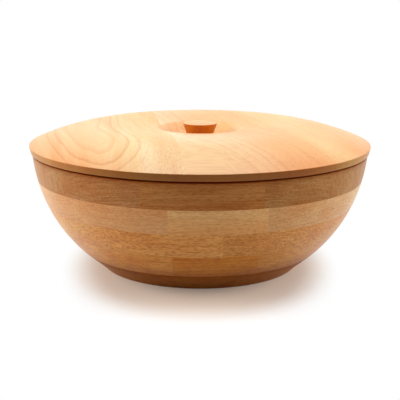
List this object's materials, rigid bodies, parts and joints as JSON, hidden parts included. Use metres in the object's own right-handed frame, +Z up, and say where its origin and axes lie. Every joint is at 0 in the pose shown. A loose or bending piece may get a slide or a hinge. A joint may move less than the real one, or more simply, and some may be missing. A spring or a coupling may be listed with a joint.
{
  "type": "lidded wooden bowl",
  "caption": "Round turned wooden bowl of glued staves on a low foot, with a domed lift-off lid and a flared knob in a finger hollow.",
  "frame": {"origin": "middle of the foot, on the surface that the bowl stands on", "axes": "+Z up along the bowl's axis, -Y towards the viewer of the picture, +X to the viewer's right"},
  "size_m": [0.3, 0.3, 0.1264],
  "materials": {
    "base_wood": "oiled satin hardwood",
    "lower_wood": "oiled satin hardwood",
    "middle_wood": "oiled satin hardwood",
    "upper_wood": "oiled satin hardwood",
    "rim_wood": "oiled satin hardwood",
    "lid_wood": "oiled satin hardwood",
    "knob_wood": "oiled satin hardwood",
    "screw_steel": "zinc plated"
  },
  "bodies": {
    "bowl": {"base_fore_board": "base_wood", "base_centre_board": "base_wood", "base_aft_board": "base_wood", "lower_front_left_stave": "lower_wood", "lower_front_middle_stave": "lower_wood", "lower_front_right_stave": "lower_wood", "lower_fore_left_stave": "lower_wood", "lower_fore_right_stave": "lower_wood", "lower_centre_left_stave": "lower_wood", "lower_centre_right_stave": "lower_wood", "lower_aft_left_stave": "lower_wood", "lower_aft_right_stave": "lower_wood", "lower_back_left_stave": "lower_wood", "lower_back_right_stave": "lower_wood", "middle_front_left_stave": "middle_wood", "middle_front_right_stave": "middle_wood", "middle_fore_left_stave": "middle_wood", "middle_fore_right_stave": "middle_wood", "middle_centre_left_stave": "middle_wood", "middle_centre_right_stave": "middle_wood", "middle_aft_left_stave": "middle_wood", "middle_aft_right_stave": "middle_wood", "middle_back_left_stave": "middle_wood", "middle_back_right_stave": "middle_wood", "upper_front_left_stave": "upper_wood", "upper_front_middle_stave": "upper_wood", "upper_front_right_stave": "upper_wood", "upper_fore_left_stave": "upper_wood", "upper_fore_right_stave": "upper_wood", "upper_centre_left_stave": "upper_wood", "upper_centre_right_stave": "upper_wood", "upper_aft_left_stave": "upper_wood", "upper_aft_right_stave": "upper_wood", "upper_back_left_stave": "upper_wood", "upper_back_right_stave": "upper_wood", "rim_front_left_stave": "rim_wood", "rim_front_middle_stave": "rim_wood", "rim_front_right_stave": "rim_wood", "rim_fore_left_stave": "rim_wood", "rim_fore_right_stave": "rim_wood", "rim_centre_left_stave": "rim_wood", "rim_centre_right_stave": "rim_wood", "rim_aft_left_stave": "rim_wood", "rim_aft_right_stave": "rim_wood", "rim_back_left_stave": "rim_wood", "rim_back_right_stave": "rim_wood"},
    "lid": {"lid_board_1": "lid_wood", "lid_board_2": "lid_wood", "lid_board_3": "lid_wood", "lid_board_4": "lid_wood", "lid_board_5": "lid_wood", "lid_board_6": "lid_wood", "lid_locating_disc": "lid_wood", "lid_knob": "knob_wood", "knob_screw": "screw_steel"}
  },
  "joints": [
    {"name": "lid_lift", "type": "slide", "parent": "bowl", "child": "lid", "axis": [0, 0, 1], "range_m": [0, 0.15]}
  ]
}
